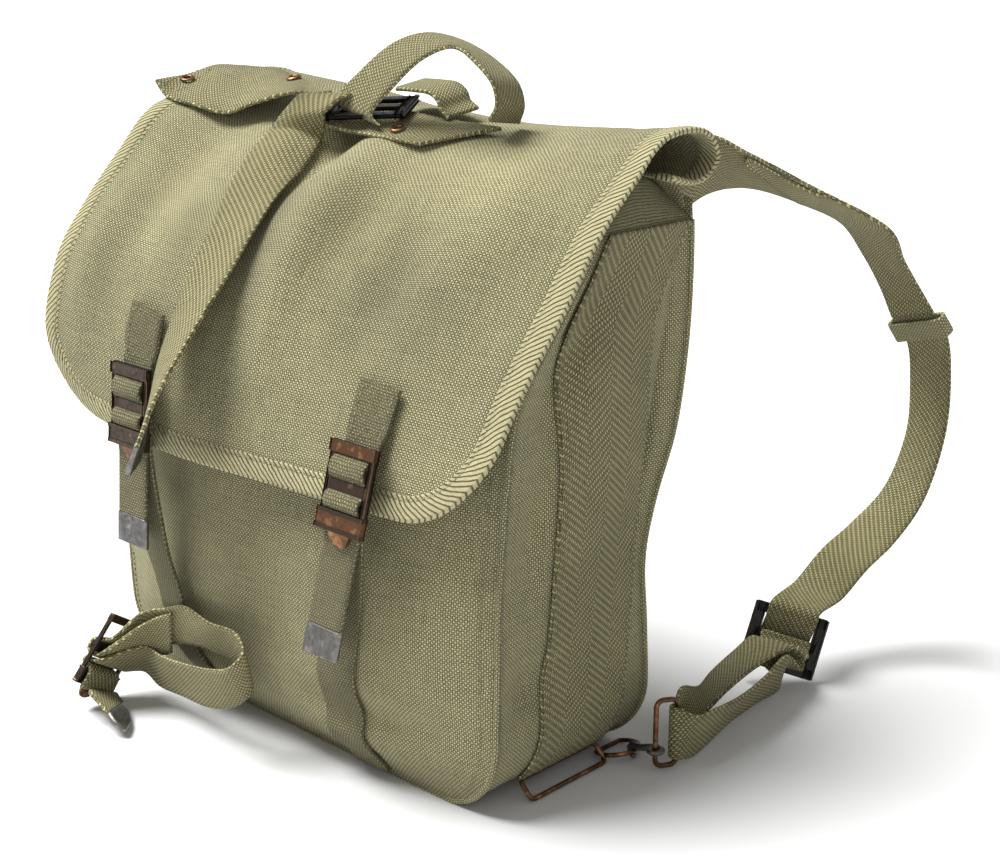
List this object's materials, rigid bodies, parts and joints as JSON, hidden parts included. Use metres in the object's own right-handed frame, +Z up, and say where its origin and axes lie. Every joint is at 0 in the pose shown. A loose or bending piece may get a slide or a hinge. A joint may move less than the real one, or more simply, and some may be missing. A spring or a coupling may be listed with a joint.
{
  "type": "haversack",
  "caption": "Canvas haversack standing on its base, with a bound flap, webbing closures with metal buckles, side webbing with rings, and long shoulder straps",
  "frame": {"origin": "on the floor under the middle of the bag's base", "axes": "+X across the bag to its right as the front is seen, -Y out of the front with the closures, +Z up"},
  "size_m": [0.3764, 0.419, 0.3755],
  "materials": {
    "canvas": "washed olive khaki cotton canvas",
    "webbing": "coarse woven cotton webbing",
    "bronze": "blackened brass, worn at the edges",
    "copper": "aged copper-coloured brass",
    "steel": "dull grey steel"
  },
  "bodies": {
    "root": {"front_panel": "canvas", "back_panel": "canvas", "gusset": "canvas", "collar": "canvas", "flap": "canvas", "flap_binding": "canvas", "side_webbing_right": "webbing", "side_webbing_left": "webbing", "flap_tab_right": "webbing", "flap_tab_left": "webbing", "closure_strap_right": "webbing", "closure_strap_left": "webbing", "shoulder_pad_right": "webbing", "shoulder_strap_right": "webbing", "keeper_right": "webbing", "shoulder_pad_left": "webbing", "shoulder_pad_end": "webbing", "top_strap": "webbing", "top_keeper": "webbing", "flap_strap": "webbing", "low_strap": "webbing", "buckle_right": "bronze", "buckle_left": "bronze", "buckle_low": "bronze", "slider_right": "bronze", "slider_left": "bronze", "buckle_lever_right": "copper", "buckle_lever_left": "copper", "buckle_lever_low": "copper", "side_ring_right": "copper", "side_ring_left": "copper", "corner_ring_right": "copper", "corner_ring_left": "copper", "hook_loop_right": "copper", "eyelet_left": "copper", "eyelet_middle": "copper", "eyelet_end": "copper", "snap_hook_right": "steel", "strap_tip_right": "steel", "strap_tip_left": "steel", "flap_strap_tip": "steel", "low_strap_tip": "steel"}
  },
  "joints": []
}
